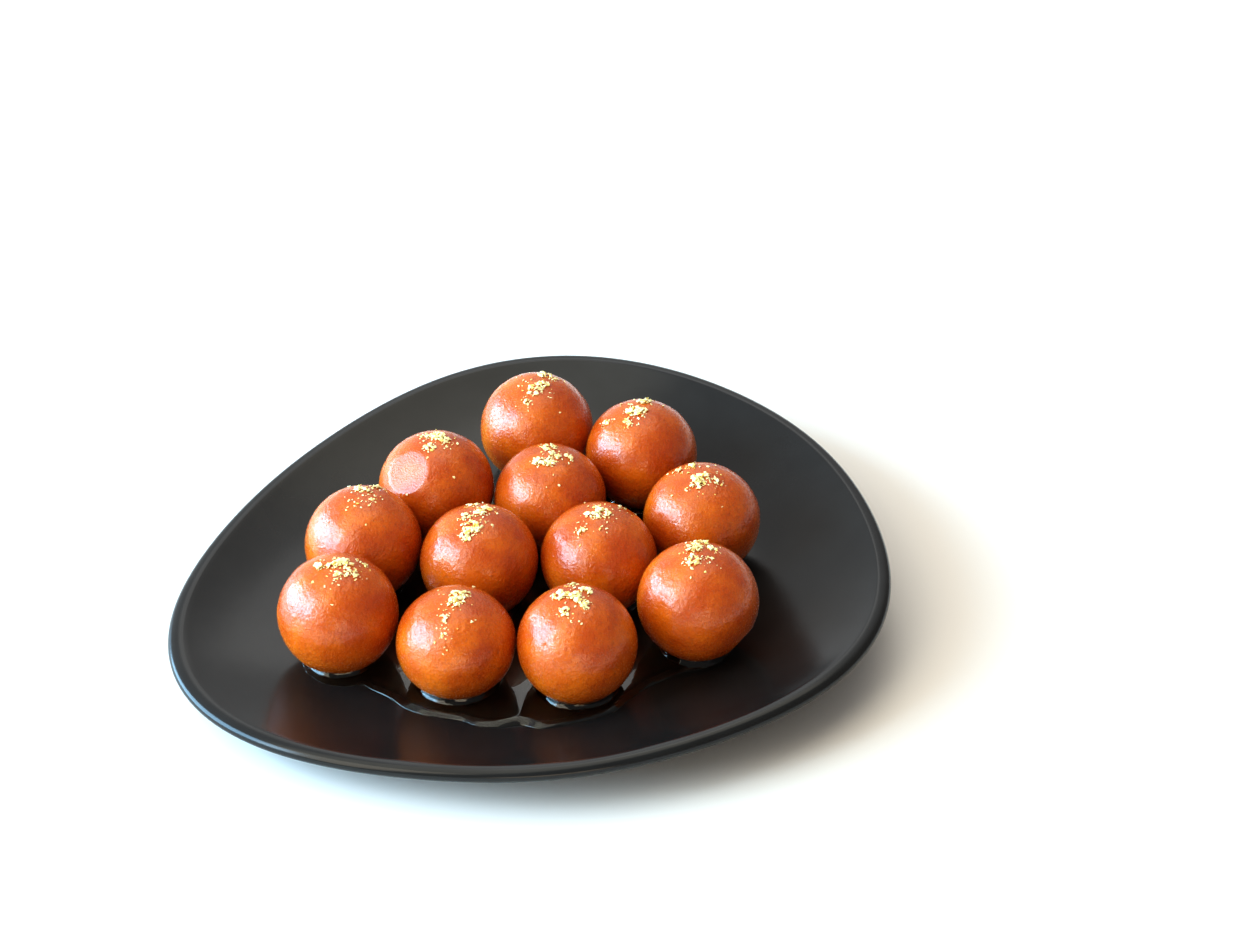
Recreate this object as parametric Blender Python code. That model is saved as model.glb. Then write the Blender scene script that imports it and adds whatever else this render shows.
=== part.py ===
"""Gulab jamun served on a black coupe plate: the solids, at their real size.

Run with: blender --background --python part.py
The origin is the middle of the plate's box, on the surface that the plate stands on.
+X is to the right of the dish, +Y to its back, +Z up.
"""
import math

import bmesh
import bpy
from mathutils import Vector, noise

MM = 0.001
TAU = 2.0 * math.pi

# --- Plate, in millimetres ---------------------------------------------------------

# The rim is a rounded triangle: a circle with a few slow waves round it.
# Each wave is (crests round the rim, height of a crest, direction of its first crest).
RIM_RADIUS = 125.4
RIM_WAVES = (
    (2, 4.9, 42.0),
    (3, 7.0, -30.0),
    (4, 0.7, 18.0),
    (5, 0.5, -9.0),
    (6, 0.9, -27.0),
)
RIM_HEIGHT = 21.7       # top of the lip above the table, on average
RIM_LIFT = 5.5          # the rim is this much higher on its high side
RIM_LIFT_TOWARD = 24.0  # direction of the high side, in degrees
FLOOR_HEIGHT = 7.0      # top of the level middle above the table
WING_START = 0.39       # share of the rim radius where the floor begins to rise
WING_POWER = 2.36       # how late the wing turns up
LIP_WIDTH = 4.8         # rounded band along the edge
LIP_THICKNESS = 5.2
WING_WALL = 5.0         # thickness under the wing
FOOT_RADIUS = 72.0      # outer edge of the foot ring
FOOT_WIDTH = 7.0
FOOT_HEIGHT = 2.6
FOOT_HOLLOW = 1.6       # depth of the hollow inside the foot ring
FOOT_ROUNDING = 0.6

# The lip's section: distance in from the edge, and depth below the top of the lip.
LIP_SECTION = (
    (3.3, 0.0),
    (1.7, 0.35),
    (0.6, 1.2),
    (0.0, 2.6),
    (0.4, 4.1),
    (1.6, LIP_THICKNESS),
)

# --- Jamuns, in millimetres --------------------------------------------------------

# Each jamun: (x, y, radius across, height as a share of its width)
JAMUNS = (
    (-66.7, -49.3, 21.2, 0.985),
    (-25.1, -63.2, 20.8, 0.930),
    (16.8, -66.7, 20.8, 1.000),
    (58.8, -42.7, 21.3, 0.985),
    (-60.6, -6.5, 21.0, 0.990),
    (-18.8, -16.4, 21.1, 0.970),
    (23.9, -14.2, 20.9, 0.960),
    (60.9, 8.3, 21.2, 0.960),
    (-36.1, 28.8, 21.1, 0.990),
    (5.8, 23.3, 20.4, 0.980),
    (0.0, 65.9, 21.2, 0.985),
    (39.3, 49.4, 20.7, 0.990),
)
JAMUN_SINK = 1.0        # how far each soft ball settles on its base
JAMUN_LUMP = 0.3        # height of the slow lumps in its skin
LUMP_SIZE = 22.0        # distance from one lump to the next
RESTING_GAP = 0.3       # between a jamun and the plate

# The jamun that was pressed against another while it fried keeps a flat side there:
# its number, the way the flat faces, and its distance from the middle over the radius.
FLAT_NUMBER = 9
FLAT_FACING = Vector((-0.51, -0.56, 0.64))
FLAT_DISTANCE = 0.93

# --- Mesh steps --------------------------------------------------------------------

PLATE_STEPS = 72
WING_STEPS = 9
UNDERSIDE_STEPS = 6
JAMUN_SEGMENTS = 20
JAMUN_RINGS = 12
BOX_STEPS = 720
SEAT_STEPS = 12


def clear_scene():
    for old in list(bpy.data.objects):
        bpy.data.objects.remove(old, do_unlink=True)


def make_collection(name):
    collection = bpy.data.collections.new(name)
    bpy.context.scene.collection.children.link(collection)
    return collection


def principled(name, color, roughness, metallic=0.0):
    material = bpy.data.materials.new(name)
    material.use_nodes = True
    shader = material.node_tree.nodes["Principled BSDF"]
    shader.inputs["Base Color"].default_value = (*color, 1.0)
    shader.inputs["Roughness"].default_value = roughness
    shader.inputs["Metallic"].default_value = metallic
    return material


def add_object(name, bm, material, collection):
    """Turn a bmesh in metres into a smooth-shaded object."""
    mesh = bpy.data.meshes.new(name)
    bm.to_mesh(mesh)
    bm.free()
    mesh.materials.append(material)
    mesh.shade_smooth()
    mesh.set_sharp_from_angle(angle=math.radians(35.0))
    body = bpy.data.objects.new(name, mesh)
    collection.objects.link(body)
    return body


# --- Plate -------------------------------------------------------------------------

def rim_radius(angle):
    """Distance from the plate's middle to its outer edge, in a direction."""
    waves = sum(
        height * math.cos(crests * (angle - math.radians(first)))
        for crests, height, first in RIM_WAVES
    )
    return RIM_RADIUS + waves


def plate_middle():
    """The middle that puts the centre of the rim's box on the origin."""
    xs, ys = [], []
    for step in range(BOX_STEPS):
        angle = TAU * step / BOX_STEPS
        xs.append(rim_radius(angle) * math.cos(angle))
        ys.append(rim_radius(angle) * math.sin(angle))
    return Vector((-(min(xs) + max(xs)) / 2, -(min(ys) + max(ys)) / 2))


def wing_rise(share):
    """How far up the wing a share of the rim radius is: 0 on the floor, 1 at the lip."""
    lip = 1.0 - LIP_WIDTH / RIM_RADIUS
    along = (share - WING_START) / (lip - WING_START)
    return min(1.0, max(0.0, along)) ** WING_POWER


def rim_lift(angle):
    """How much higher than average the rim is in a direction."""
    return RIM_LIFT * math.cos(angle - math.radians(RIM_LIFT_TOWARD))


def surface_height(x, y, middle):
    """Height of the plate's top surface under a point."""
    out = Vector((x, y)) - middle
    angle = math.atan2(out.y, out.x)
    rise = wing_rise(out.length / rim_radius(angle))
    return FLOOR_HEIGHT + (RIM_HEIGHT + rim_lift(angle) - FLOOR_HEIGHT) * rise


def plate_section():
    """Half of the plate's section, from the top's middle out over the lip to the foot."""
    def wing_point(reach, drop=0.0):
        height = FLOOR_HEIGHT + (RIM_HEIGHT - FLOOR_HEIGHT) * wing_rise(reach / RIM_RADIUS)
        return reach, height - drop

    floor_edge = RIM_RADIUS * WING_START
    wing_edge = RIM_RADIUS - LIP_WIDTH
    points = [(0.0, FLOOR_HEIGHT), (floor_edge / 2, FLOOR_HEIGHT)]
    for step in range(WING_STEPS + 1):
        points.append(wing_point(floor_edge + (wing_edge - floor_edge) * step / WING_STEPS))
    points += [(RIM_RADIUS - inset, RIM_HEIGHT - drop) for inset, drop in LIP_SECTION]
    under_start = RIM_RADIUS - LIP_WIDTH
    under_end = FOOT_RADIUS + 6.0
    for step in range(UNDERSIDE_STEPS):
        reach = under_start + (under_end - under_start) * step / (UNDERSIDE_STEPS - 1)
        points.append(wing_point(reach, WING_WALL))
    foot_inside = FOOT_RADIUS - FOOT_WIDTH
    points += [
        (FOOT_RADIUS + FOOT_ROUNDING, FOOT_HEIGHT),
        (FOOT_RADIUS, FOOT_ROUNDING),
        (FOOT_RADIUS - FOOT_ROUNDING, 0.0),
        (foot_inside + FOOT_ROUNDING, 0.0),
        (foot_inside - FOOT_ROUNDING, FOOT_HOLLOW),
        (0.0, FOOT_HOLLOW),
    ]
    return points


def build_plate(collection, material, middle):
    """Turn the section round the middle, then stretch and lift the rim."""
    bm = bmesh.new()
    points = [bm.verts.new((reach, 0.0, height)) for reach, height in plate_section()]
    edges = [bm.edges.new(pair) for pair in zip(points, points[1:])]
    bmesh.ops.spin(
        bm, geom=points + edges, cent=(0, 0, 0), axis=(0, 0, 1),
        angle=TAU, steps=PLATE_STEPS, use_merge=True,
    )
    bmesh.ops.remove_doubles(bm, verts=bm.verts, dist=0.02)
    for point in bm.verts:
        angle = math.atan2(point.co.y, point.co.x)
        reach = point.co.xy.length
        if point.co.z > FOOT_HEIGHT:
            point.co.z += rim_lift(angle) * wing_rise(reach / RIM_RADIUS)
        point.co.xy *= rim_radius(angle) / RIM_RADIUS
        point.co.xy += middle
        point.co *= MM
    bmesh.ops.recalc_face_normals(bm, faces=bm.faces)
    return add_object("plate", bm, material, collection)


# --- Jamuns ------------------------------------------------------------------------

def seat_height(x, y, radius, middle):
    """Highest point of the plate under a jamun's resting spot."""
    spot = math.sqrt(2.0 * radius * JAMUN_SINK)
    heights = []
    for step in range(SEAT_STEPS):
        angle = TAU * step / SEAT_STEPS
        out = Vector((math.cos(angle), math.sin(angle))) * spot
        heights.append(surface_height(x + out.x, y + out.y, middle))
    return max(heights)


def build_jamun(number, sizes, collection, material, middle):
    """A slightly lumpy ball that has settled on its base."""
    x, y, radius, share = sizes
    base = seat_height(x, y, radius, middle) + RESTING_GAP
    centre = Vector((x, y, base + radius * share - JAMUN_SINK))
    bm = bmesh.new()
    bmesh.ops.create_uvsphere(
        bm, u_segments=JAMUN_SEGMENTS, v_segments=JAMUN_RINGS, radius=1.0,
    )
    for point in bm.verts:
        outward = point.co.normalized()
        place = outward * radius
        place.z *= share
        place += outward * JAMUN_LUMP * noise.noise((place + centre) / LUMP_SIZE)
        if number == FLAT_NUMBER:
            beyond = place.dot(FLAT_FACING) - FLAT_DISTANCE * radius
            place -= FLAT_FACING * max(0.0, beyond)
        place += centre
        place.z = max(place.z, base)
        point.co = place * MM
    return add_object(f"jamun_{number:02d}", bm, material, collection)


def main():
    clear_scene()
    dish = make_collection("gulab_jamun")
    glaze = principled("black_glaze", (0.012, 0.012, 0.013), 0.2)
    fried_skin = principled("fried_skin", (0.45, 0.12, 0.015), 0.3)
    middle = plate_middle()
    build_plate(dish, glaze, middle)
    for number, sizes in enumerate(JAMUNS, start=1):
        build_jamun(number, sizes, dish, fried_skin, middle)


main()
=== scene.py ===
"""Gulab jamun on a black coupe plate: the skins, glaze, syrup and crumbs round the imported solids.

Everything is at its real size, in metres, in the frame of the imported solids: +X is to the
right of the dish, +Y to its back, +Z up, and the table is at Z = 0. The constants are in
millimetres and degrees, except where a comment says otherwise.
"""

import math
import random

import bmesh
import bpy
from bpy.props import FloatProperty, FloatVectorProperty, IntProperty, PointerProperty
from mathutils import Matrix, Vector, geometry, kdtree, noise


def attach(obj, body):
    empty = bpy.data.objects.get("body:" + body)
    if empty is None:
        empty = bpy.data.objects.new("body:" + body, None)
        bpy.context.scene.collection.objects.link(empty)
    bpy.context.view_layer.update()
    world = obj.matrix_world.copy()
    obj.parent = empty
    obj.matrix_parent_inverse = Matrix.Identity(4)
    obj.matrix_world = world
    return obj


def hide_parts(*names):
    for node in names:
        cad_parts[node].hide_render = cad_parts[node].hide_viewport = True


bl_info = {
    "name": "Gulab Jamun Plate",
    "version": (1, 0, 0),
    "blender": (4, 5, 0),
    "location": "View3D > Sidebar > Gulab Jamun",
    "description": "Soaked, glossy gulab jamun with syrup and crumbs on a black glazed plate",
    "category": "Object",
}

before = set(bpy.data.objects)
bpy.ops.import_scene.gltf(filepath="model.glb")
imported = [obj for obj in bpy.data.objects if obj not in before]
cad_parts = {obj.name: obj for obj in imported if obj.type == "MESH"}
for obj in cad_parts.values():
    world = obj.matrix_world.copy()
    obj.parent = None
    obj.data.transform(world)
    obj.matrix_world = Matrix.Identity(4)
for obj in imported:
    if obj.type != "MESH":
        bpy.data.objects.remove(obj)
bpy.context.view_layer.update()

MM = 0.001
TAU = 2.0 * math.pi
BODY = "root"

# --- Plate: the same outline and section as the solid, with finer steps ---

RIM_RADIUS = 125.4
# Slow waves that make the rim a rounded triangle: crests, height, direction of the first.
RIM_WAVES = (
    (2, 4.9, 42.0),
    (3, 7.0, -30.0),
    (4, 0.7, 18.0),
    (5, 0.5, -9.0),
    (6, 0.9, -27.0),
)
RIM_HEIGHT = 21.7
RIM_LIFT = 5.5          # how much higher than average the rim is at its highest
RIM_LIFT_TOWARD = 24.0
FLOOR_HEIGHT = 7.0
WING_START = 0.39       # the wing rises from this share of the rim's radius
WING_POWER = 2.36       # 1 is a straight wing, more is a hollower one
LIP_WIDTH = 4.8         # from the crease out to the rim
LIP_THICKNESS = 5.2
LIP_NOSE = 3.3          # how far the rounded nose of the lip reaches in
WING_WALL = 5.0
FOOT_RADIUS = 72.0
FOOT_WIDTH = 7.0
FOOT_HEIGHT = 2.6
FOOT_HOLLOW = 1.6
FOOT_ROUNDING = 0.6
FOOT_SKIRT = 6.0        # the curve of the underside ends this far outside the foot
PLATE_STEPS = 216
WING_STEPS = 30
LIP_STEPS = 14
UNDERSIDE_STEPS = 16
BOX_STEPS = 720         # points of the rim that give its box
CREASE_SEGMENTS = 4
CREASE_NEAR = 0.01      # edges this near to the crease are taken as on it
PLATE_MERGE = 0.002     # points closer than this become one
PLATE_SHARP = 40.0      # edges sharper than this, in degrees, are not smoothed
BARE_CLAY = (0.5, 0.2)  # the glaze fades to bare clay between these heights

# --- Jamuns ---

# Each jamun: (x, y, radius across, height as a share of its width)
JAMUNS = (
    (-66.7, -49.3, 21.2, 0.985),
    (-25.1, -63.2, 20.8, 0.930),
    (16.8, -66.7, 20.8, 1.000),
    (58.8, -42.7, 21.3, 0.985),
    (-60.6, -6.5, 21.0, 0.990),
    (-18.8, -16.4, 21.1, 0.970),
    (23.9, -14.2, 20.9, 0.960),
    (60.9, 8.3, 21.2, 0.960),
    (-36.1, 28.8, 21.1, 0.990),
    (5.8, 23.3, 20.4, 0.980),
    (0.0, 65.9, 21.2, 0.985),
    (39.3, 49.4, 20.7, 0.990),
)
JAMUN_SINK = 1.0        # how far its weight flattens the base
JAMUN_LUMP = 0.3        # height of the slow lumps
LUMP_SIZE = 22.0
DIMPLES = ((6.5, 1.0), (2.7, 0.5))      # (size, share of the dimple height)
WRINKLE_SIZES = (1.2, 0.55)
RESTING_GAP = 0.3
SEAT_STEPS = 12

# Flat sides, where a jamun was pressed while it fried:
# (number, the way the flat faces, its distance from the middle over the radius)
FLATS = (
    (9, (-0.458, -0.516, 0.724), 0.918),
    (4, (0.72, -0.43, -0.54), 0.955),
)
FLAT_EDGE = 0.15        # how far the edge of a flat side is rounded

# Small hollows: (number, direction from the middle, reach, depth)
HOLLOWS = (
    (3, (-0.52, -0.70, 0.50), 0.7, 0.35),
)
# Lighter amber towards the bottom: partly the soaking, partly a painted glow of light shining
# through the skin.
AMBER_GLOW_HEIGHTS = (36.0, 12.0)   # the skin turns from brown to amber between these

# --- Syrup ---

# The edge of the syrup on the plate, as (x, y), anticlockwise from the left front.
POOL_EDGE = (
    (-78.5, -57.0), (-75.0, -61.5), (-71.0, -64.5), (-66.0, -65.5), (-61.0, -65.0),
    (-57.5, -64.5), (-54.5, -67.0), (-48.0, -72.0), (-42.5, -78.0), (-36.0, -82.0),
    (-30.0, -83.5), (-23.0, -85.5), (-17.0, -89.0), (-10.0, -90.0), (-4.0, -88.5),
    (-1.5, -88.5), (4.5, -91.0), (11.0, -89.5), (18.0, -87.0), (24.0, -84.5),
    (30.0, -80.5), (35.0, -73.5), (40.0, -67.0), (47.0, -61.5), (53.5, -57.5),
    (58.5, -56.5), (65.0, -54.0), (69.0, -50.0), (72.0, -43.5), (72.5, -35.0),
    (71.5, -26.0), (71.0, -15.0), (73.5, -4.0), (75.0, 8.0), (72.0, 18.0),
    (64.0, 23.5), (57.0, 30.0), (54.0, 40.0), (53.5, 50.0), (49.0, 59.0),
    (39.0, 63.5), (29.0, 64.0), (17.0, 70.0), (11.0, 77.0), (0.0, 80.5),
    (-10.0, 77.0), (-15.0, 68.0), (-18.0, 56.0), (-26.0, 45.5), (-37.0, 43.0),
    (-47.0, 38.0), (-52.0, 28.0), (-56.0, 14.0), (-66.0, 7.5), (-74.0, -1.0),
    (-75.5, -12.0), (-72.5, -24.0), (-76.5, -35.0), (-81.0, -46.0),
)
EDGE_STEPS = 9          # steps from one of those points to the next
EDGE_RINGS = (0.25, 0.55, 0.9, 1.3, 1.75, 2.2, 2.7, 3.2, 4.2)
EDGE_CURL = 3.5         # how far in the surface starts to curl down to its edge
LEVEL_REACH = 4.0       # how far an edge's height is felt at its full weight
THIN_SIDE = (-64.0, -52.0)      # the pool gets thin to the left, between these
THIN_SHARE = 0.3        # what is left there of its rise
POOL_GRID = 2.4         # between the points of its open surface
POOL_SINK = 0.25        # the underside lies this far in the glaze
CLING_HEIGHT = 1.6      # how far the syrup climbs up a jamun
CLING_WIDTH = 1.3
CLING_CURVE = 1.6       # 1 is a straight slope, more is a hollower one
CLING_LEAST = 0.35      # share of that climb left at the pool's edge
CLING_FULL = 4.0        # distance from the edge where the climb is full
# Rings of points round each jamun, from the line where the syrup clings to it
CLING_RINGS = (
    -5.0, -2.5, -1.2, -0.5, 0.0, 0.06, 0.14, 0.26, 0.4, 0.58, 0.8, 1.05, 1.3, 1.7, 2.2, 2.8, 3.5,
)
CLING_STEPS = 90
CLING_REACH = 20.0      # nothing of it lies further from a jamun's axis
CLING_START = 6.0
CLING_SEARCH = 0.1      # steps outwards in the search for the line
CLING_OVERLAP = 0.35
CLING_CLEAR = 0.5       # its rings stay this far from the pool's edge
UNDER_JAMUN = 5.0       # grid points this near to a jamun's axis are kept
EDGE_SINK = 0.06        # the pool's edge lies this far in the glaze
SYRUP_MERGE = 0.0005    # points closer than this become one

# --- Crumbs ---

FLAKE_CORNERS = 11
FLAKE_BULK = (0.36, 0.60)       # how far its corners lie from its middle
# Its length, width and thickness, each drawn between two shares of its size
FLAKE_STRETCH = ((0.85, 1.25), (0.55, 0.95), (0.30, 0.55))
FLAKE_TIP = 0.35        # how far flakes tip over, in radians
FLAKE_LIFT = 0.2        # how far the middle lies above the skin, over its size
KIND_SHARES = (0.68, 0.22, 0.10)        # pale, golden, green
CLUMP_FILL = 6.0        # flakes in a clump as wide as a usual flake
CLUMP_TIGHT = 0.65      # a clump's flakes lie within this share of its width
CLUMP_HEAP = 0.25       # and heap up by this share in its middle
# Widths over the usual flake's: in the clumps, in the grains round them, and apart
FLAKE_WIDTHS = (0.4, 1.25)
GRAIN_WIDTHS = (0.2, 0.5)
STRAY_WIDTHS = (0.3, 0.7)
GRAIN_SPREAD = 1.8      # how far the grains lie outside a clump's core
GRAIN_CORE = 0.3        # that core, as a share of the clump's width
# The main clumps of flakes on each jamun: (x, y, width) from the jamun's own axis.
CLUMPS = (
    ((3, 1, 4), (6, -3, 3.5), (-5, 0, 3), (-1, -1, 3), (1, -5, 2), (10, 3, 1.5)),
    ((1.5, 1, 3.5), (0, -3, 3.5), (4, 2.5, 2), (-3, -9, 2), (-3, -14, 1.5)),
    ((-5.5, 1, 4), (0, -1, 4), (3, 3, 3), (3, -4, 3), (-4, -7, 2.5), (-1.5, 9, 2)),
    ((-1.5, 2.5, 4.5), (1, 7.5, 3), (-2, -4, 3.5), (5, 3, 2), (4, -3, 1.5)),
    ((5, 8, 2.5), (-1, 4.5, 2.5), (1.5, 3, 2), (4, -2, 1)),
    ((-1, -6.5, 4), (-3.5, -9, 4), (-2, 7, 2), (1, 1, 3), (-4, -1, 2.5), (3, 4, 2.5)),
    ((1.5, -0.5, 4), (-3, -1, 3), (8, 7, 1.5), (-6, -8, 2), (-1, 4, 1.5)),
    ((-2, -5, 4.5), (0.5, -2.5, 3.5), (-2.5, 5.5, 2.5), (-8.5, 4, 2), (5, -4, 2)),
    ((1, 3, 4.5), (3.5, 0.5, 3), (-2, -4.5, 3), (-3.5, 3, 1.5)),
    ((0, 4, 3.5), (0.5, -5, 3), (-4, -4, 3), (2, -1.5, 2.5), (7, -1, 2)),
    ((3, 6, 4), (-0.5, -5, 3.5), (2.5, -2, 3), (-3, -10, 2), (7, 4.5, 1.5)),
    ((-3, -2, 4), (1, 5.5, 3.5), (-0.5, -2.5, 3.5), (-13, -3, 2), (-5, -7, 2)),
)
STRAY_SPREAD = 6.0      # how far the stray flakes lie from the jamun's axis
STRAY_NARROW = 0.6      # share of that spread from left to right
STRAY_LEAN = -1.5       # they lie a little towards the front

# --- Stage ---

ROOM_BRIGHT_SIDE = (-0.48, 0.57, 0.67)
ROOM_FADE = (0.25, 0.93)        # the room goes from dim to bright between these
ROOM_DIM = 0.33         # brightness of the dim side, over the bright one's
FLOOR_HALF = 4.0        # half the floor's side, in metres
WINDOW_COLOR = (0.40, 0.72, 1.0)
WALL_SHARE = 0.5        # power of the lit wall round the window, over the window's
# Each light: the way to it, its distance, width and height in metres, roll in degrees, colour
LIGHTS = {
    "window": ((-0.956, 0.0, 0.290), 1.5, 2.15, 0.95, 31.0, WINDOW_COLOR),
    "window_wall": ((-0.95, 0.05, 0.12), 1.7, 3.2, 1.5, 15.0, WINDOW_COLOR),
    "softbox": ((-0.60, -0.56, 0.56), 1.5, 0.9, 1.3, 0.0, (1.0, 0.90, 0.72)),
    "back": ((-0.04, 0.66, 0.75), 2.0, 0.6, 1.3, 0.0, (1.0, 1.0, 0.97)),
    "overhead": ((-0.08, 0.08, 1.0), 1.6, 2.2, 1.1, 0.0, (1.0, 0.93, 0.74)),
    "front": ((0.1, -0.97, 0.17), 2.0, 1.0, 0.4, 0.0, (1.0, 0.82, 0.60)),
}
# Power in watts of the lights that have no setting of their own
FIXED_POWERS = {"back": 2.2, "overhead": 8.8, "front": 4.5}
LIGHTS_AIM = (0.0, 0.0, 0.03)   # in metres
CAMERA_SENSOR = 36.0
CAMERA_LENS = 97.14
CAMERA_PLACE = (0.035006, -0.997192, 0.739122)  # in metres
CAMERA_TILT = 34.5      # degrees down from level


# --- Properties ---

class PlateSettings(bpy.types.PropertyGroup):
    glaze_color: FloatVectorProperty(
        name="Glaze", description="Colour of the glaze", subtype="COLOR",
        default=(0.014, 0.0135, 0.013), min=0.0, max=1.0,
    )
    glaze_roughness: FloatProperty(
        name="Glaze Roughness", description="How satin the glaze is",
        default=0.18, min=0.0, max=1.0, subtype="FACTOR",
    )
    clay_color: FloatVectorProperty(
        name="Bare Clay", description="Colour of the unglazed foot", subtype="COLOR",
        default=(0.23, 0.17, 0.12), min=0.0, max=1.0,
    )
    crease_rounding: FloatProperty(
        name="Crease Rounding", description="Rounding where the wing meets the lip",
        default=0.6 * MM, min=0.0, max=3.0 * MM, unit="LENGTH",
    )


class JamunSettings(bpy.types.PropertyGroup):
    # Amber also gives the painted glow of light through the lower skin.
    amber: FloatVectorProperty(
        name="Amber", description="Colour of the lighter, soaked skin", subtype="COLOR",
        default=(0.62, 0.130, 0.006), min=0.0, max=1.0,
    )
    brown: FloatVectorProperty(
        name="Brown", description="Colour of the darker, well-fried skin", subtype="COLOR",
        default=(0.45, 0.066, 0.004), min=0.0, max=1.0,
    )
    dimple_height: FloatProperty(
        name="Dimples", description="Height of the shallow dimples",
        default=0.12 * MM, min=0.0, max=1.0 * MM, unit="LENGTH",
    )
    wrinkle_height: FloatProperty(
        name="Wrinkles", description="Height of the small wrinkles",
        default=0.065 * MM, min=0.0, max=0.3 * MM, unit="LENGTH",
    )
    refinement: IntProperty(
        name="Refinement", description="Rounds of splitting of each skin's faces",
        default=7, min=3, max=7,
    )


class SyrupSettings(bpy.types.PropertyGroup):
    tint: FloatVectorProperty(
        name="Tint", description="Colour of the clear syrup", subtype="COLOR",
        default=(0.96, 0.86, 0.66), min=0.0, max=1.0,
    )
    rise: FloatProperty(
        name="Rise", description="How high the pool stands above the plate at its edge",
        default=1.5 * MM, min=0.2 * MM, max=2.5 * MM, unit="LENGTH",
    )


class CrumbSettings(bpy.types.PropertyGroup):
    pale: FloatVectorProperty(
        name="Pale", description="Colour of the palest crumbs", subtype="COLOR",
        default=(1.0, 0.90, 0.46), min=0.0, max=1.0,
    )
    golden: FloatVectorProperty(
        name="Golden", description="Colour of the toasted crumbs", subtype="COLOR",
        default=(1.0, 0.62, 0.12), min=0.0, max=1.0,
    )
    green: FloatVectorProperty(
        name="Green", description="Colour of the green crumbs", subtype="COLOR",
        default=(0.88, 0.80, 0.20), min=0.0, max=1.0,
    )
    grains: IntProperty(
        name="Grains", description="Fine grains round the clumps of each jamun",
        default=90, min=0, max=200,
    )
    strays: IntProperty(
        name="Stray Flakes", description="Small flakes that lie apart on each jamun",
        default=22, min=0, max=60,
    )
    flake_size: FloatProperty(
        name="Flakes", description="Usual width of a flake",
        default=2.1 * MM, min=0.3 * MM, max=4.0 * MM, unit="LENGTH",
    )
    seed: IntProperty(
        name="Seed", description="Start of the random draws", default=11, min=0,
    )


class StageSettings(bpy.types.PropertyGroup):
    floor_color: FloatVectorProperty(
        name="Floor", description="Colour of the floor", subtype="COLOR",
        default=(0.80, 0.77, 0.73), min=0.0, max=1.0,
    )
    room_strength: FloatProperty(
        name="Room", description="Brightness of the bright side of the room",
        default=0.85, min=0.0, max=5.0,
    )
    window_power: FloatProperty(
        name="Window", description="Power of the window on the left",
        default=78.0, min=0.0, unit="POWER",
    )
    softbox_power: FloatProperty(
        name="Softbox", description="Power of the softbox on the upper left",
        default=12.0, min=0.0, unit="POWER",
    )


# --- Helpers ---

def add_piece(name, bm, materials, nodes=(), smooth=True):
    """Turn a bmesh in metres into a piece of the dish."""
    mesh = bpy.data.meshes.new(name)
    bm.to_mesh(mesh)
    bm.free()
    for material in materials:
        mesh.materials.append(material)
    if smooth:
        mesh.shade_smooth()
    piece = bpy.data.objects.new(name, mesh)
    bpy.context.scene.collection.objects.link(piece)
    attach(piece, BODY)
    if nodes:
        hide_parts(*nodes)
    return piece


def new_material(name):
    """A material with its node tree, its shader and its Object coordinates."""
    material = bpy.data.materials.new(name)
    material.use_nodes = True
    tree = material.node_tree
    coordinates = tree.nodes.new("ShaderNodeTexCoord")
    return material, tree, tree.nodes["Principled BSDF"], coordinates.outputs["Object"]


def shade(color, share):
    """The colour made darker, or paler where the share is over 1."""
    return tuple(min(1.0, channel * share) for channel in color)


def grain_group():
    """Soft grain of a given size, from 0 to 1, on Object coordinates."""
    if "soft_grain" in bpy.data.node_groups:
        return bpy.data.node_groups["soft_grain"]
    group = bpy.data.node_groups.new("soft_grain", "ShaderNodeTree")
    face = group.interface
    face.new_socket("Vector", in_out="INPUT", socket_type="NodeSocketVector")
    for name, value in (("Scale", 500.0), ("Detail", 2.0), ("Low", 0.3), ("High", 0.7)):
        socket = face.new_socket(name, in_out="INPUT", socket_type="NodeSocketFloat")
        socket.default_value = value
    face.new_socket("Grain", in_out="OUTPUT", socket_type="NodeSocketFloat")
    inside = group.nodes.new("NodeGroupInput")
    outside = group.nodes.new("NodeGroupOutput")
    cloud = group.nodes.new("ShaderNodeTexNoise")
    spread = group.nodes.new("ShaderNodeMapRange")
    group.links.new(inside.outputs["Vector"], cloud.inputs["Vector"])
    group.links.new(inside.outputs["Scale"], cloud.inputs["Scale"])
    group.links.new(inside.outputs["Detail"], cloud.inputs["Detail"])
    group.links.new(cloud.outputs["Fac"], spread.inputs["Value"])
    group.links.new(inside.outputs["Low"], spread.inputs["From Min"])
    group.links.new(inside.outputs["High"], spread.inputs["From Max"])
    group.links.new(spread.outputs["Result"], outside.inputs["Grain"])
    return group


def add_grain(tree, vector, size, detail=2.0, low=0.3, high=0.7):
    """Place the grain group with its own size in millimetres; returns its output."""
    node = tree.nodes.new("ShaderNodeGroup")
    node.node_tree = grain_group()
    node.inputs["Scale"].default_value = 1.0 / (size * MM)
    node.inputs["Detail"].default_value = detail
    node.inputs["Low"].default_value = low
    node.inputs["High"].default_value = high
    tree.links.new(vector, node.inputs["Vector"])
    return node.outputs["Grain"]


def add_mix(tree, factor, first, second):
    """Mix two colours, each a colour or an output."""
    node = tree.nodes.new("ShaderNodeMix")
    node.data_type = "RGBA"
    tree.links.new(factor, node.inputs["Factor"])
    for socket, value in ((node.inputs["A"], first), (node.inputs["B"], second)):
        if isinstance(value, bpy.types.NodeSocket):
            tree.links.new(value, socket)
        else:
            socket.default_value = (*value, 1.0)
    return node.outputs["Result"]


def add_range(tree, value, low, high, to_low=0.0, to_high=1.0):
    """Map a value from one range to another, clamped."""
    node = tree.nodes.new("ShaderNodeMapRange")
    node.inputs["From Min"].default_value = low
    node.inputs["From Max"].default_value = high
    node.inputs["To Min"].default_value = to_low
    node.inputs["To Max"].default_value = to_high
    tree.links.new(value, node.inputs["Value"])
    return node.outputs["Result"]


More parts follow.
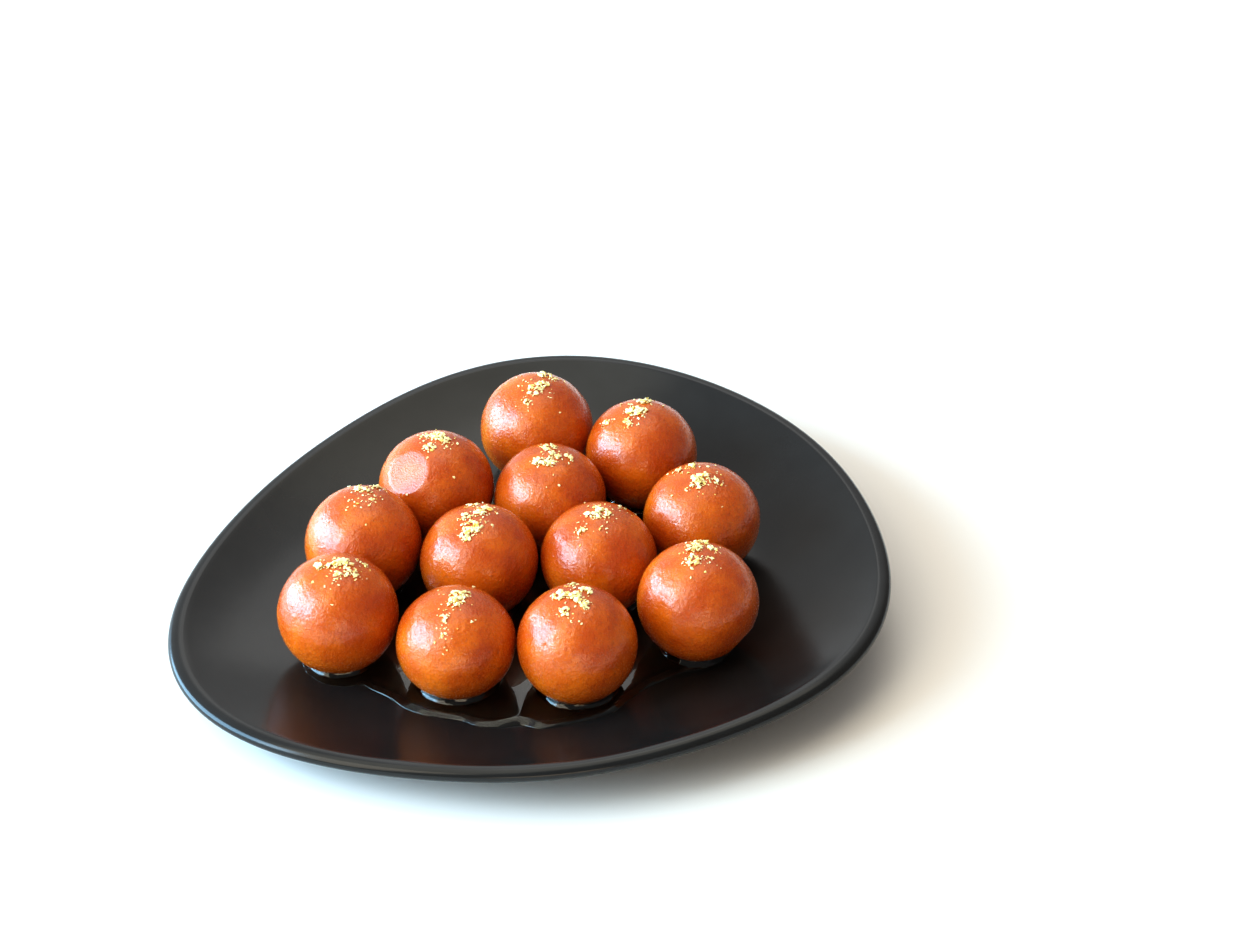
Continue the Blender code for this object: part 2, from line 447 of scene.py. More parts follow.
def add_bump(tree, height, distance, below=None):
    """A bump of that height in millimetres, on top of another bump."""
    node = tree.nodes.new("ShaderNodeBump")
    node.inputs["Strength"].default_value = 1.0
    node.inputs["Distance"].default_value = distance * MM
    tree.links.new(height, node.inputs["Height"])
    if below is not None:
        tree.links.new(below, node.inputs["Normal"])
    return node.outputs["Normal"]


# --- Plate ---

def rim_radius(angle):
    """Distance from the plate's middle to its outer edge, in a direction."""
    return RIM_RADIUS + sum(
        height * math.cos(crests * (angle - math.radians(first)))
        for crests, height, first in RIM_WAVES
    )


def plate_middle():
    """The middle that puts the centre of the rim's box on the origin."""
    rim = []
    for step in range(BOX_STEPS):
        angle = TAU * step / BOX_STEPS
        rim.append((rim_radius(angle) * math.cos(angle), rim_radius(angle) * math.sin(angle)))
    xs, ys = zip(*rim)
    return Vector((-(min(xs) + max(xs)) / 2, -(min(ys) + max(ys)) / 2))


MIDDLE = plate_middle()


def wing_rise(share):
    """How far up the wing a share of the rim radius is: 0 on the floor, 1 at the lip."""
    lip = 1.0 - LIP_WIDTH / RIM_RADIUS
    along = (share - WING_START) / (lip - WING_START)
    return min(1.0, max(0.0, along)) ** WING_POWER


def rim_lift(angle):
    """How much higher than average the rim is in a direction."""
    return RIM_LIFT * math.cos(angle - math.radians(RIM_LIFT_TOWARD))


def surface_height(x, y):
    """Height of the plate's top surface under a point."""
    out = Vector((x, y)) - MIDDLE
    angle = math.atan2(out.y, out.x)
    rise = wing_rise(out.length / rim_radius(angle))
    return FLOOR_HEIGHT + (RIM_HEIGHT + rim_lift(angle) - FLOOR_HEIGHT) * rise


def plate_section():
    """Half of the plate's section, from the top's middle out over the lip to the foot."""
    def wing_point(reach, drop=0.0):
        height = FLOOR_HEIGHT + (RIM_HEIGHT - FLOOR_HEIGHT) * wing_rise(reach / RIM_RADIUS)
        return reach, height - drop

    floor_edge = RIM_RADIUS * WING_START
    wing_edge = RIM_RADIUS - LIP_WIDTH
    points = [(reach, FLOOR_HEIGHT) for reach in (0.0, floor_edge / 3, floor_edge / 1.5)]
    for step in range(WING_STEPS + 1):
        points.append(wing_point(floor_edge + (wing_edge - floor_edge) * step / WING_STEPS))
    for step in range(LIP_STEPS + 1):
        turn = math.pi * step / LIP_STEPS
        inset = LIP_NOSE * (1.0 - math.sin(turn))
        drop = LIP_THICKNESS * (1.0 - math.cos(turn)) / 2
        points.append((RIM_RADIUS - inset, RIM_HEIGHT - drop))
    under_end = FOOT_RADIUS + FOOT_SKIRT
    for step in range(UNDERSIDE_STEPS):
        reach = wing_edge + (under_end - wing_edge) * step / (UNDERSIDE_STEPS - 1)
        points.append(wing_point(reach, WING_WALL))
    foot_inside = FOOT_RADIUS - FOOT_WIDTH
    points += [
        (FOOT_RADIUS + FOOT_ROUNDING, FOOT_HEIGHT),
        (FOOT_RADIUS, FOOT_ROUNDING),
        (FOOT_RADIUS - FOOT_ROUNDING, 0.0),
        (foot_inside + FOOT_ROUNDING, 0.0),
        (foot_inside - FOOT_ROUNDING, FOOT_HOLLOW),
        (0.0, FOOT_HOLLOW),
    ]
    return points


def glaze_material(settings):
    """Satin black glaze, with bare clay where the foot stands."""
    material, tree, shader, place = new_material("black_glaze_satin")
    split = tree.nodes.new("ShaderNodeSeparateXYZ")
    tree.links.new(place, split.inputs["Vector"])
    glazed, bared = BARE_CLAY
    bare = add_range(tree, split.outputs["Z"], glazed * MM, bared * MM)
    cloud = add_grain(tree, place, size=14.0, detail=3.0)
    black = add_mix(tree, cloud, settings.glaze_color, shade(settings.glaze_color, 0.8))
    color = add_mix(tree, bare, black, settings.clay_color)
    tree.links.new(color, shader.inputs["Base Color"])
    satin = settings.glaze_roughness
    drift = add_grain(tree, place, size=30.0, detail=4.0)
    gloss = add_range(tree, drift, 0.0, 1.0, to_low=satin - 0.02, to_high=satin + 0.02)
    rough = tree.nodes.new("ShaderNodeMix")
    tree.links.new(bare, rough.inputs["Factor"])
    tree.links.new(gloss, rough.inputs["A"])
    rough.inputs["B"].default_value = 0.85
    tree.links.new(rough.outputs["Result"], shader.inputs["Roughness"])
    fine = add_bump(tree, add_grain(tree, place, size=0.8), 0.0012)
    slow = add_bump(tree, add_grain(tree, place, size=9.0, detail=1.0), 0.01, fine)
    tree.links.new(slow, shader.inputs["Normal"])
    shader.inputs["Specular IOR Level"].default_value = 0.33
    return material


class GULAB_OT_plate(bpy.types.Operator):
    """Make the black glazed plate"""

    bl_idname = "gulab.plate"
    bl_label = "Plate"

    def execute(self, context):
        settings = context.scene.gulab_plate
        bm = bmesh.new()
        points = [bm.verts.new((reach, 0.0, height)) for reach, height in plate_section()]
        edges = [bm.edges.new(pair) for pair in zip(points, points[1:])]
        bmesh.ops.spin(
            bm, geom=points + edges, cent=(0, 0, 0), axis=(0, 0, 1),
            angle=TAU, steps=PLATE_STEPS, use_merge=True,
        )
        bmesh.ops.remove_doubles(bm, verts=bm.verts, dist=PLATE_MERGE)
        crease = RIM_RADIUS - LIP_WIDTH
        ring = [
            edge for edge in bm.edges
            if all(
                abs(point.co.xy.length - crease) < CREASE_NEAR
                and point.co.z > RIM_HEIGHT - CREASE_NEAR
                for point in edge.verts
            )
        ]
        bmesh.ops.bevel(
            bm, geom=ring, offset=settings.crease_rounding / MM, segments=CREASE_SEGMENTS,
            profile=0.5, affect="EDGES", material=-1,
        )
        for point in bm.verts:
            angle = math.atan2(point.co.y, point.co.x)
            reach = point.co.xy.length
            if point.co.z > FOOT_HEIGHT:
                point.co.z += rim_lift(angle) * wing_rise(reach / RIM_RADIUS)
            point.co.xy *= rim_radius(angle) / RIM_RADIUS
            point.co.xy += MIDDLE
            point.co *= MM
        bmesh.ops.recalc_face_normals(bm, faces=bm.faces)
        piece = add_piece(
            "plate_glazed", bm, [glaze_material(settings)], ["plate"],
        )
        piece.data.set_sharp_from_angle(angle=math.radians(PLATE_SHARP))
        return {"FINISHED"}


# --- Jamuns ---

def seat_height(x, y, radius):
    """Highest point of the plate under a jamun's resting spot."""
    spot = math.sqrt(2.0 * radius * JAMUN_SINK)
    return max(
        surface_height(
            x + spot * math.cos(TAU * step / SEAT_STEPS),
            y + spot * math.sin(TAU * step / SEAT_STEPS),
        )
        for step in range(SEAT_STEPS)
    )


def jamun_centre(number):
    """The middle of a jamun, and the height of its base."""
    x, y, radius, share = JAMUNS[number - 1]
    base = seat_height(x, y, radius) + RESTING_GAP
    return Vector((x, y, base + radius * share - JAMUN_SINK)), base


def skin_relief(spot, dimple, wrinkle):
    """Height of the uneven skin at a point: slow lumps, dimples and a net of wrinkles."""
    height = JAMUN_LUMP * noise.noise(spot / LUMP_SIZE)
    for size, share in DIMPLES:
        height += dimple * share * noise.noise(spot / size)
    for size in WRINKLE_SIZES:
        height += wrinkle * noise.noise(spot / size)
    return height


def soft_flat(beyond, rounding):
    """How far a point is pushed in by a flat side with a rounded edge."""
    if beyond > rounding:
        return beyond
    if beyond < -rounding:
        return 0.0
    return (beyond + rounding) ** 2 / (4.0 * rounding)


def skin_offset(place, outward, number, radius):
    """Flat sides and small hollows of one jamun, as a move of the point."""
    move = Vector((0.0, 0.0, 0.0))
    for owner, facing, distance in FLATS:
        if owner == number:
            facing = Vector(facing).normalized()
            beyond = place.dot(facing) - distance * radius
            move -= facing * soft_flat(beyond, FLAT_EDGE)
    for owner, direction, reach, depth in HOLLOWS:
        if owner == number:
            away = (place - Vector(direction).normalized() * radius).length
            move -= outward * depth * math.exp(-(away / reach) ** 2)
    return move


def skin_material(settings):
    """Fried, syrup-soaked skin: brown above, amber towards the bottom (partly the soaking, partly a
    painted glow of light through the skin), glossy and finely wrinkled.
    """
    material, tree, shader, place = new_material("soaked_fried_skin")
    split = tree.nodes.new("ShaderNodeSeparateXYZ")
    tree.links.new(place, split.inputs["Vector"])
    # Amber towards the bottom: partly the soaking, partly a painted glow of light through the skin.
    above, below = AMBER_GLOW_HEIGHTS
    low = add_range(
        tree, split.outputs["Z"], above * MM, below * MM, to_low=-0.15, to_high=0.45,
    )
    patches = add_grain(tree, place, size=11.0, low=0.32, high=0.68)
    soaked = tree.nodes.new("ShaderNodeMath")
    soaked.operation = "ADD"
    soaked.use_clamp = True
    tree.links.new(patches, soaked.inputs[0])
    tree.links.new(low, soaked.inputs[1])
    color = add_mix(tree, soaked.outputs["Value"], settings.brown, settings.amber)
    freckles = add_grain(tree, place, size=1.3, low=0.50, high=0.72)
    faint = add_range(tree, freckles, 0.0, 1.0, to_high=0.4)
    color = add_mix(tree, faint, color, shade(settings.brown, 0.70))
    # Darker brown in the small pits: painted shade where the pits lose the reflection.
    pits = add_grain(tree, place, size=0.8, detail=1.0, low=0.60, high=0.66)
    faint = add_range(tree, pits, 0.0, 1.0, to_high=0.12)
    color = add_mix(tree, faint, color, shade(settings.brown, 0.35))
    tree.links.new(color, shader.inputs["Base Color"])
    wet = add_grain(tree, place, size=3.0, detail=3.0)
    gloss = add_range(tree, wet, 0.0, 1.0, to_low=0.15, to_high=0.25)
    dull = tree.nodes.new("ShaderNodeMix")
    tree.links.new(pits, dull.inputs["Factor"])
    tree.links.new(gloss, dull.inputs["A"])
    dull.inputs["B"].default_value = 0.5
    tree.links.new(dull.outputs["Result"], shader.inputs["Roughness"])
    film = add_grain(tree, place, size=0.6, low=0.38, high=0.58)
    film = add_range(tree, film, 0.0, 1.0, to_low=0.1, to_high=0.5)
    tree.links.new(film, shader.inputs["Coat Weight"])
    shader.inputs["Coat Roughness"].default_value = 0.08
    shader.inputs["Coat IOR"].default_value = 1.47
    cells = tree.nodes.new("ShaderNodeTexVoronoi")
    cells.feature = "SMOOTH_F1"
    cells.inputs["Scale"].default_value = 1.0 / (0.75 * MM)
    cells.inputs["Smoothness"].default_value = 0.6
    tree.links.new(place, cells.inputs["Vector"])
    leather = add_bump(tree, cells.outputs["Distance"], 0.05)
    fine = add_bump(tree, add_grain(tree, place, size=0.55), 0.045, leather)
    pores = add_grain(tree, place, size=0.6, low=0.47, high=0.36)
    tree.links.new(add_bump(tree, pores, -0.03, fine), shader.inputs["Normal"])
    shader.inputs["Subsurface Weight"].default_value = 0.2
    shader.inputs["Subsurface Radius"].default_value = (1.0, 0.3, 0.1)
    shader.inputs["Subsurface Scale"].default_value = 2.5 * MM
    shader.inputs["IOR"].default_value = 1.45
    shader.inputs["Specular IOR Level"].default_value = 0.5
    return material


class GULAB_OT_jamuns(bpy.types.Operator):
    """Make the twelve soaked jamuns"""

    bl_idname = "gulab.jamuns"
    bl_label = "Jamuns"

    def execute(self, context):
        settings = context.scene.gulab_jamuns
        skin = skin_material(settings)
        refinement = settings.refinement
        dimple = settings.dimple_height / MM
        wrinkle = settings.wrinkle_height / MM
        for number in range(1, len(JAMUNS) + 1):
            radius, share = JAMUNS[number - 1][2:]
            centre, base = jamun_centre(number)
            bm = bmesh.new()
            bmesh.ops.create_icosphere(bm, subdivisions=refinement, radius=1.0)
            for point in bm.verts:
                outward = point.co.normalized()
                place = outward * radius
                place.z *= share
                spot = place + centre
                place += outward * skin_relief(spot, dimple, wrinkle)
                place += skin_offset(place, outward, number, radius)
                place += centre
                place.z = max(place.z, base)
                point.co = place * MM
            name = f"jamun_{number:02d}"
            add_piece(f"{name}_skin", bm, [skin], [name])
        return {"FINISHED"}


# --- Syrup ---

def smooth_loop(corners, steps):
    """A closed smooth line through the corners."""
    count = len(corners)
    line = []
    for index in range(count):
        before, start, end, after = (
            Vector(corners[(index + shift) % count]) for shift in (-1, 0, 1, 2)
        )
        curve = geometry.interpolate_bezier(
            start, start + (end - before) / 6, end - (after - start) / 6, end, steps + 1,
        )
        line += [Vector(point[:2]) for point in curve[:-1]]
    return line


def inset_loop(line, distance):
    """The line moved inwards; it runs anticlockwise."""
    count = len(line)
    moved = []
    for index, point in enumerate(line):
        along = (line[(index + 1) % count] - line[index - 1]).normalized()
        moved.append(point + Vector((-along.y, along.x)) * distance)
    return moved


def inside(point, line):
    """Whether the point is inside the closed line."""
    hits = 0
    for start, end in zip(line, line[1:] + line[:1]):
        if (start.y > point.y) != (end.y > point.y):
            across = start.x + (end.x - start.x) * (point.y - start.y) / (end.y - start.y)
            hits += point.x < across
    return hits % 2 == 1


class Pool:
    """The outline of the syrup, and the height of its still surface."""

    def __init__(self, corners, rise):
        self.rise = rise
        self.line = smooth_loop(corners, EDGE_STEPS)
        self.corners = [(x, y, surface_height(x, y)) for x, y in corners]
        self.edge = [surface_height(point.x, point.y) for point in self.line]
        self.tree = kdtree.KDTree(len(self.line))
        for index, point in enumerate(self.line):
            self.tree.insert((point.x, point.y, 0.0), index)
        self.tree.balance()

    def nearest(self, x, y):
        """Distance from a point to the outline, and the outline's height there."""
        index = self.tree.find((x, y, 0.0))[1]
        best = None
        for start in (index - 1, index):
            end = (start + 1) % len(self.line)
            spot, share = geometry.intersect_point_line((x, y), self.line[start], self.line[end])
            share = min(1.0, max(0.0, share))
            spot = self.line[start].lerp(self.line[end], share)
            away = math.hypot(spot.x - x, spot.y - y)
            height = self.edge[start] + (self.edge[end] - self.edge[start]) * share
            if best is None or away < best[0]:
                best = (away, height)
        return best

    def to_edge(self, x, y):
        """Distance from a point to the outline."""
        return self.nearest(x, y)[0]

    def level(self, x, y):
        """Height of the surface away from the outline: almost level, between its edges."""
        weights = total = 0.0
        for corner_x, corner_y, height in self.corners:
            away = (x - corner_x) ** 2 + (y - corner_y) ** 2
            weight = 1.0 / (away + LEVEL_REACH ** 2)
            weights += weight
            total += weight * height
        low, high = THIN_SIDE
        full = min(1.0, max(0.0, (x - low) / (high - low)))
        return total / weights + self.rise * (THIN_SHARE + (1.0 - THIN_SHARE) * full)

    def height(self, x, y):
        """Height of the surface, which curls down to the glaze at the outline."""
        away, edge = self.nearest(x, y)
        curl = math.sin(math.pi / 2 * min(1.0, away / EDGE_CURL))
        return edge + (self.level(x, y) - edge) * curl


def underside(ball, reach):
    """Height of a jamun's lower half at a distance from its axis."""
    centre, base, radius, share = ball
    drop = share * math.sqrt(max(0.0, radius * radius - reach * reach))
    return max(base, centre.z - drop)


def cling_line(ball, pool):
    """Distance from a jamun's axis to where the syrup clings, one for each step round it."""
    centre = ball[0]
    line = []
    for step in range(CLING_STEPS):
        angle = TAU * step / CLING_STEPS
        reach = CLING_START
        while reach < ball[2] - 1.0:    # never quite out to its widest
            x, y = centre.x + reach * math.cos(angle), centre.y + reach * math.sin(angle)
            full = min(1.0, pool.to_edge(x, y) / CLING_FULL)
            climb = CLING_HEIGHT * (CLING_LEAST + (1.0 - CLING_LEAST) * full)
            if underside(ball, reach) > pool.height(x, y) + climb:
                break
            reach += CLING_SEARCH
        line.append(reach)
    return line


def cling_reach(line, angle):
    """The distance in a direction, between the steps of the cling line."""
    place = (angle / TAU * CLING_STEPS) % CLING_STEPS
    step = int(place)
    return line[step] + (line[(step + 1) % CLING_STEPS] - line[step]) * (place - step)


def syrup_height(x, y, pool, balls, cling):
    """Height of the syrup's surface, with its hollow ring round each jamun."""
    height = pool.height(x, y)
    for ball, line in zip(balls, cling):
        centre = ball[0]
        out = Vector((x - centre.x, y - centre.y))
        if out.length > CLING_REACH:
            continue
        beyond = out.length - cling_reach(line, math.atan2(out.y, out.x))
        if beyond <= 0.0:
            return underside(ball, out.length) + CLING_OVERLAP
        if beyond < CLING_WIDTH:
            top = underside(ball, out.length - beyond) + CLING_OVERLAP
            along = 1.0 - beyond / CLING_WIDTH
            height = max(height, height + (top - height) * along ** CLING_CURVE)
    return height


def pool_points(pool, balls, cling):
    """Points of the pool's surface: its edge, rings inside it, rings round the jamuns, a grid."""
    line = pool.line
    points = list(line)
    for distance in EDGE_RINGS:
        every = 1 if distance < 1.2 else 2      # the inner rings need half the points
        for point in inset_loop(line, distance)[::every]:
            if pool.to_edge(*point) > distance * 0.9:
                points.append(point)
    for ball, reaches in zip(balls, cling):
        for ring in CLING_RINGS:
            for step, reach in enumerate(reaches):
                angle = TAU * step / CLING_STEPS
                point = ball[0].xy + (reach + ring) * Vector((math.cos(angle), math.sin(angle)))
                nearer = any(
                    other is not ball and (point - other[0].xy).length < CLING_START
                    for other in balls
                )
                if not nearer and inside(point, line) and pool.to_edge(*point) > CLING_CLEAR:
                    points.append(point)
    low_x, low_y = min(p.x for p in line), min(p.y for p in line)
    columns = int((max(p.x for p in line) - low_x) / POOL_GRID) + 1
    rows = int((max(p.y for p in line) - low_y) / POOL_GRID) + 1
    for row in range(rows):
        for column in range(columns):
            point = Vector((
                low_x + (column + 0.5 * (row % 2)) * POOL_GRID, low_y + row * POOL_GRID,
            ))
            clear = not any(
                UNDER_JAMUN <= (point - ball[0].xy).length <= CLING_REACH for ball in balls
            )
            if clear and inside(point, line) and pool.to_edge(*point) > EDGE_RINGS[-1] + 1.0:
                points.append(point)
    return points


def syrup_material(settings):
    """Clear amber sugar syrup."""
    material, tree, shader, place = new_material("clear_sugar_syrup")
    cloud = add_grain(tree, place, size=20.0, detail=1.0)
    color = add_mix(tree, cloud, settings.tint, shade(settings.tint, 1.08))
    tree.links.new(color, shader.inputs["Base Color"])
    shader.inputs["Transmission Weight"].default_value = 1.0
    shader.inputs["Roughness"].default_value = 0.03
    shader.inputs["IOR"].default_value = 1.47
    ripple = add_bump(tree, add_grain(tree, place, size=7.0, detail=1.0), 0.04)
    tree.links.new(ripple, shader.inputs["Normal"])
    return material


class GULAB_OT_syrup(bpy.types.Operator):
    """Pour the thin syrup round the jamuns"""

    bl_idname = "gulab.syrup"
    bl_label = "Syrup"

    def execute(self, context):
        settings = context.scene.gulab_syrup
        pool = Pool(POOL_EDGE, settings.rise / MM)
        balls = [
            (*jamun_centre(number), *JAMUNS[number - 1][2:])
            for number in range(1, len(JAMUNS) + 1)
        ]
        cling = [cling_line(ball, pool) for ball in balls]
        points = pool_points(pool, balls, cling)
        flat, _, faces, *_ = geometry.delaunay_2d_cdt(
            points, [], [list(range(len(pool.line)))], 1, 0.001,
        )
        bm = bmesh.new()
        corners = [bm.verts.new((point.x, point.y, 0.0)) for point in flat]
        for face in faces:
            bm.faces.new([corners[index] for index in face])
        loose = [point for point in bm.verts if not point.link_faces]
        bmesh.ops.delete(bm, geom=loose, context="VERTS")
        bmesh.ops.recalc_face_normals(bm, faces=bm.faces)
        top = list(bm.faces)
        copied = bmesh.ops.duplicate(bm, geom=top)["geom"]
        under = [item for item in copied if isinstance(item, bmesh.types.BMFace)]
        under_points = {item for item in copied if isinstance(item, bmesh.types.BMVert)}
        for point in bm.verts:
            x, y = point.co.xy
            if point in under_points:
                sink = 0.0 if point.is_boundary else POOL_SINK * min(1.0, pool.to_edge(x, y))
                point.co.z = surface_height(x, y) - EDGE_SINK - sink
            elif point.is_boundary:
                point.co.z = surface_height(x, y) - EDGE_SINK
            else:
                point.co.z = syrup_height(x, y, pool, balls, cling)
        bmesh.ops.reverse_faces(bm, faces=under)
        bmesh.ops.remove_doubles(bm, verts=bm.verts, dist=SYRUP_MERGE)
        bmesh.ops.scale(bm, vec=(MM, MM, MM), verts=bm.verts)
        add_piece("syrup_pool", bm, [syrup_material(settings)])
        return {"FINISHED"}


# --- Crumbs ---

def crumb_material(name, main, other, size):
    """Crushed nut: matt, uneven in colour."""
    material, tree, shader, place = new_material(name)
    patches = add_grain(tree, place, size, low=0.42, high=0.62)
    tree.links.new(add_mix(tree, patches, main, other), shader.inputs["Base Color"])
    shader.inputs["Roughness"].default_value = 0.45
    shader.inputs["Subsurface Weight"].default_value = 0.2
    shader.inputs["Subsurface Radius"].default_value = (1.0, 0.8, 0.4)
    shader.inputs["Subsurface Scale"].default_value = 0.6 * MM
    rough = add_bump(tree, add_grain(tree, place, size=0.4, detail=3.0), 0.05)
    tree.links.new(rough, shader.inputs["Normal"])
    return material


def add_crumb(bm, draw, foot, normal, size):
    """One broken flake that lies on the skin."""
    corners = []
    for _ in range(FLAKE_CORNERS):
        way = Vector((draw.gauss(0, 1), draw.gauss(0, 1), draw.gauss(0, 1))).normalized()
        corners.append(bm.verts.new(way * draw.uniform(*FLAKE_BULK)))
    hull = bmesh.ops.convex_hull(bm, input=corners)
    bmesh.ops.delete(bm, geom=hull["geom_interior"], context="VERTS")
    kept = [point for point in corners if point.is_valid]
    stretch = [draw.uniform(*shares) for shares in FLAKE_STRETCH]
    turn = Matrix.Rotation(draw.uniform(0.0, TAU), 4, "Z")
    tip = Matrix.Rotation(draw.gauss(0.0, FLAKE_TIP), 4, "X")
    lean = normal.to_track_quat("Z", "Y").to_matrix().to_4x4()
    lift = Matrix.Translation(foot + normal * size * FLAKE_LIFT)
    place = lift @ lean @ turn @ tip @ Matrix.Diagonal((*stretch, 1.0)) @ Matrix.Scale(size, 4)
    bmesh.ops.transform(bm, matrix=place, verts=kept)


def skin_spot(number, x, y):
    """The point of a jamun's skin above (x, y) from its axis, and its normal."""
    radius, share = JAMUNS[number - 1][2:]
    centre, _ = jamun_centre(number)
    up = math.sqrt(max(1.0, radius * radius - x * x - y * y))
    outward = Vector((x, y, up / share)).normalized()
    spot = centre + Vector((x, y, up * share))
    height = JAMUN_LUMP * noise.noise(spot / LUMP_SIZE)
    spot += skin_offset(spot - centre, outward, number, radius)
    return spot + outward * height, outward


class GULAB_OT_crumbs(bpy.types.Operator):
    """Sprinkle crushed nuts on the jamuns"""

    bl_idname = "gulab.crumbs"
    bl_label = "Crumbs"

    def execute(self, context):
        settings = context.scene.gulab_crumbs
        usual = settings.flake_size / MM
        draw = random.Random(settings.seed)
        tones = {
            "crumbs_pale": (settings.pale, shade(settings.pale, 0.85)),
            "crumbs_golden": (settings.golden, settings.pale),
            "crumbs_green": (settings.green, settings.pale),
        }
        kinds = {name: bmesh.new() for name in tones}
        for number, clumps in enumerate(CLUMPS, start=1):
            flakes = []
            for x, y, clump in clumps:
                for _ in range(max(1, round((clump / usual) ** 2 * CLUMP_FILL))):
                    share = math.sqrt(draw.random())
                    away = clump * CLUMP_TIGHT * share
                    angle = draw.uniform(0.0, TAU)
                    size = min(clump, usual * draw.uniform(*FLAKE_WIDTHS))
                    heap = clump * CLUMP_HEAP * (1.0 - share) * draw.random()
                    flakes.append(
                        (x + away * math.cos(angle), y + away * math.sin(angle), size, heap)
                    )
            for _ in range(settings.grains):
                x, y, clump = draw.choice(clumps)
                away = abs(draw.gauss(0.0, 1.0)) * GRAIN_SPREAD + clump * GRAIN_CORE
                angle = draw.uniform(0.0, TAU)
                size = usual * draw.uniform(*GRAIN_WIDTHS)
                flakes.append((x + away * math.cos(angle), y + away * math.sin(angle), size, 0.0))
            for _ in range(settings.strays):
                x = draw.gauss(0.0, STRAY_SPREAD * STRAY_NARROW)
                y = draw.gauss(STRAY_LEAN, STRAY_SPREAD)
                flakes.append((x, y, usual * draw.uniform(*STRAY_WIDTHS), 0.0))
            for x, y, size, heap in flakes:
                kind = draw.choices(list(kinds), KIND_SHARES)[0]
                foot, normal = skin_spot(number, x, y)
                add_crumb(kinds[kind], draw, foot + normal * heap, normal, size)
        for name, bm in kinds.items():
            bmesh.ops.scale(bm, vec=(MM, MM, MM), verts=bm.verts)
            bmesh.ops.recalc_face_normals(bm, faces=bm.faces)
            add_piece(name, bm, [crumb_material(name, *tones[name], size=1.6)], smooth=False)
        return {"FINISHED"}


# --- Stage ---

def add_area_light(name, power):
    """One of the rectangular lights that face the dish."""
    direction, distance, width, height, roll, color = LIGHTS[name]
    light = bpy.data.lights.new(name, "AREA")
    light.shape = "RECTANGLE"
    light.size = width
    light.size_y = height
    light.energy = power
    light.color = color
    lamp = bpy.data.objects.new(name, light)
    bpy.context.scene.collection.objects.link(lamp)
    toward = Vector(direction).normalized()
    lamp.location = toward * distance + Vector(LIGHTS_AIM)
    turn = toward.to_track_quat("Z", "Y").to_matrix() @ Matrix.Rotation(math.radians(roll), 3, "Z")
    lamp.rotation_euler = turn.to_euler()


def room_light(strength):
    """Soft light of a pale room: bright behind, above and on the left, dim elsewhere."""
    world = bpy.data.worlds.new("room")
    world.use_nodes = True
    tree = world.node_tree
    toward = tree.nodes.new("ShaderNodeTexCoord")
    along = tree.nodes.new("ShaderNodeVectorMath")
    along.operation = "DOT_PRODUCT"
    along.inputs[1].default_value = ROOM_BRIGHT_SIDE
    tree.links.new(toward.outputs["Generated"], along.inputs[0])
    spread = tree.nodes.new("ShaderNodeMapRange")
    spread.interpolation_type = "SMOOTHSTEP"
    spread.inputs["From Min"].default_value = ROOM_FADE[0]
    spread.inputs["From Max"].default_value = ROOM_FADE[1]
    spread.inputs["To Min"].default_value = ROOM_DIM * strength
    spread.inputs["To Max"].default_value = strength
    tree.links.new(along.outputs["Value"], spread.inputs["Value"])
    tree.links.new(spread.outputs["Result"], tree.nodes["Background"].inputs["Strength"])
    tree.nodes["Background"].inputs["Color"].default_value = (1.0, 1.0, 1.0, 1.0)
    return world


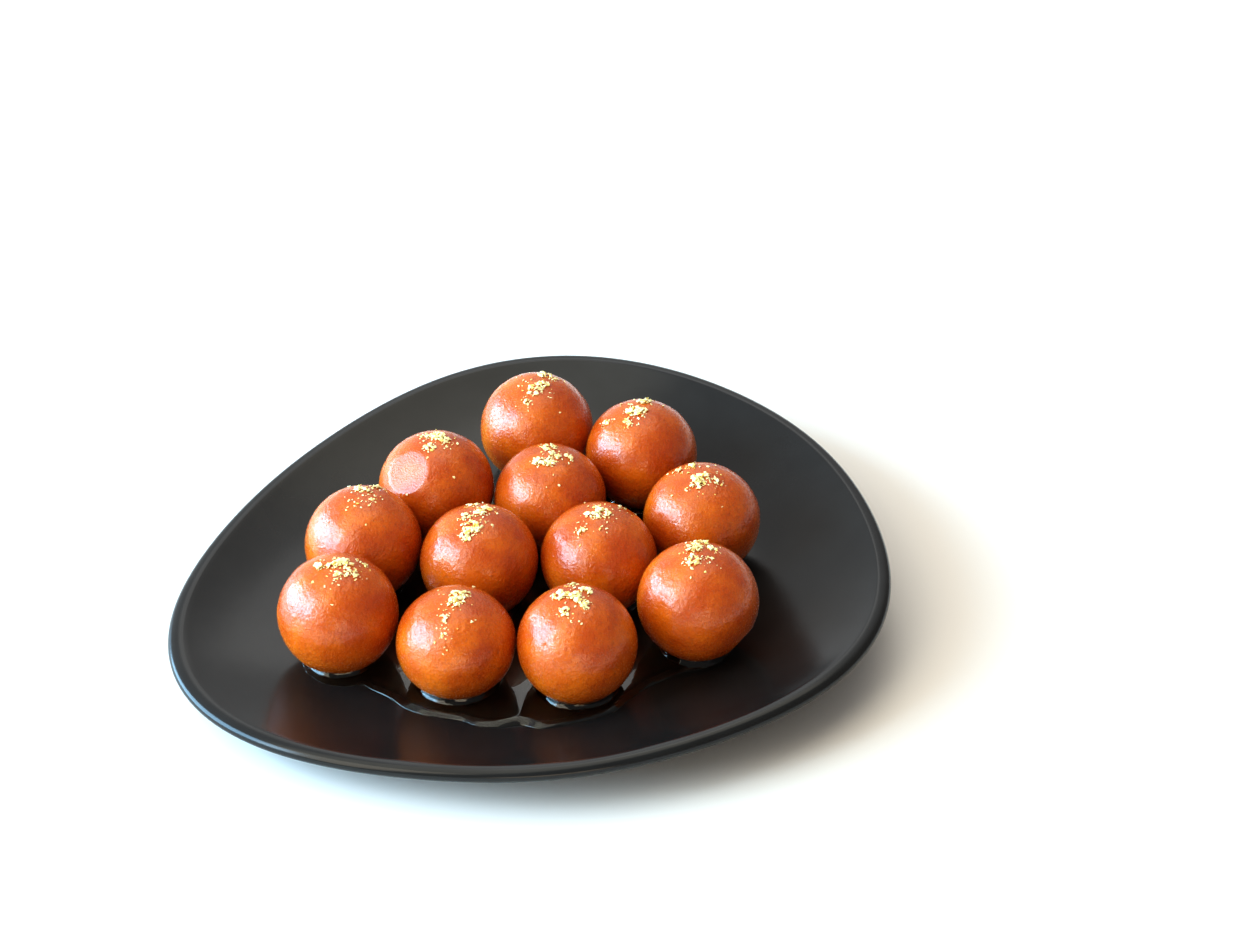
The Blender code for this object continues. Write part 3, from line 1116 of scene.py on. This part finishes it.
class GULAB_OT_stage(bpy.types.Operator):
    """Set the floor, the room, the lights and the camera"""

    bl_idname = "gulab.stage"
    bl_label = "Stage"

    def execute(self, context):
        settings = context.scene.gulab_stage
        scene = context.scene
        bm = bmesh.new()
        bmesh.ops.create_grid(bm, x_segments=1, y_segments=1, size=FLOOR_HALF)
        mesh = bpy.data.meshes.new("floor")
        bm.to_mesh(mesh)
        bm.free()
        floor = bpy.data.objects.new("floor", mesh)
        scene.collection.objects.link(floor)
        material, _, shader, _ = new_material("pale_floor")
        shader.inputs["Base Color"].default_value = (*settings.floor_color, 1.0)
        shader.inputs["Roughness"].default_value = 0.9
        mesh.materials.append(material)

        scene.world = room_light(settings.room_strength)
        scene.view_settings.view_transform = "Standard"
        scene.view_settings.look = "Medium High Contrast"
        powers = {
            "window": settings.window_power,
            "window_wall": settings.window_power * WALL_SHARE,
            "softbox": settings.softbox_power,
            **FIXED_POWERS,
        }
        for name, power in powers.items():
            add_area_light(name, power)

        camera = bpy.data.cameras.new("camera")
        camera.sensor_width = CAMERA_SENSOR
        camera.lens = CAMERA_LENS
        viewer = bpy.data.objects.new("camera", camera)
        scene.collection.objects.link(viewer)
        viewer.location = CAMERA_PLACE
        viewer.rotation_euler = (math.radians(90.0 - CAMERA_TILT), 0.0, 0.0)
        scene.camera = viewer
        return {"FINISHED"}


# --- Panel and registration ---

class GULAB_PT_panel(bpy.types.Panel):
    bl_idname = "GULAB_PT_panel"
    bl_label = "Gulab Jamun"
    bl_space_type = "VIEW_3D"
    bl_region_type = "UI"
    bl_category = "Gulab Jamun"

    def draw(self, context):
        for group, operator in STEPS:
            box = self.layout.box()
            settings = getattr(context.scene, group)
            for name in settings.bl_rna.properties.keys():
                if name not in {"rna_type", "name"}:
                    box.prop(settings, name)
            box.operator(operator)


STEPS = (
    ("gulab_plate", "gulab.plate"),
    ("gulab_jamuns", "gulab.jamuns"),
    ("gulab_syrup", "gulab.syrup"),
    ("gulab_crumbs", "gulab.crumbs"),
    ("gulab_stage", "gulab.stage"),
)

GROUPS = {
    "gulab_plate": PlateSettings,
    "gulab_jamuns": JamunSettings,
    "gulab_syrup": SyrupSettings,
    "gulab_crumbs": CrumbSettings,
    "gulab_stage": StageSettings,
}

CLASSES = (
    *GROUPS.values(),
    GULAB_OT_plate,
    GULAB_OT_jamuns,
    GULAB_OT_syrup,
    GULAB_OT_crumbs,
    GULAB_OT_stage,
    GULAB_PT_panel,
)


def register():
    for item in CLASSES:
        bpy.utils.register_class(item)
    for name, group in GROUPS.items():
        setattr(bpy.types.Scene, name, PointerProperty(type=group))


def unregister():
    for name in GROUPS:
        delattr(bpy.types.Scene, name)
    for item in reversed(CLASSES):
        bpy.utils.unregister_class(item)


def main():
    register()
    bpy.ops.gulab.plate()
    bpy.ops.gulab.jamuns()
    bpy.ops.gulab.syrup()
    bpy.ops.gulab.crumbs()
    bpy.ops.gulab.stage()
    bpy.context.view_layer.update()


if __name__ == "__main__":
    main()
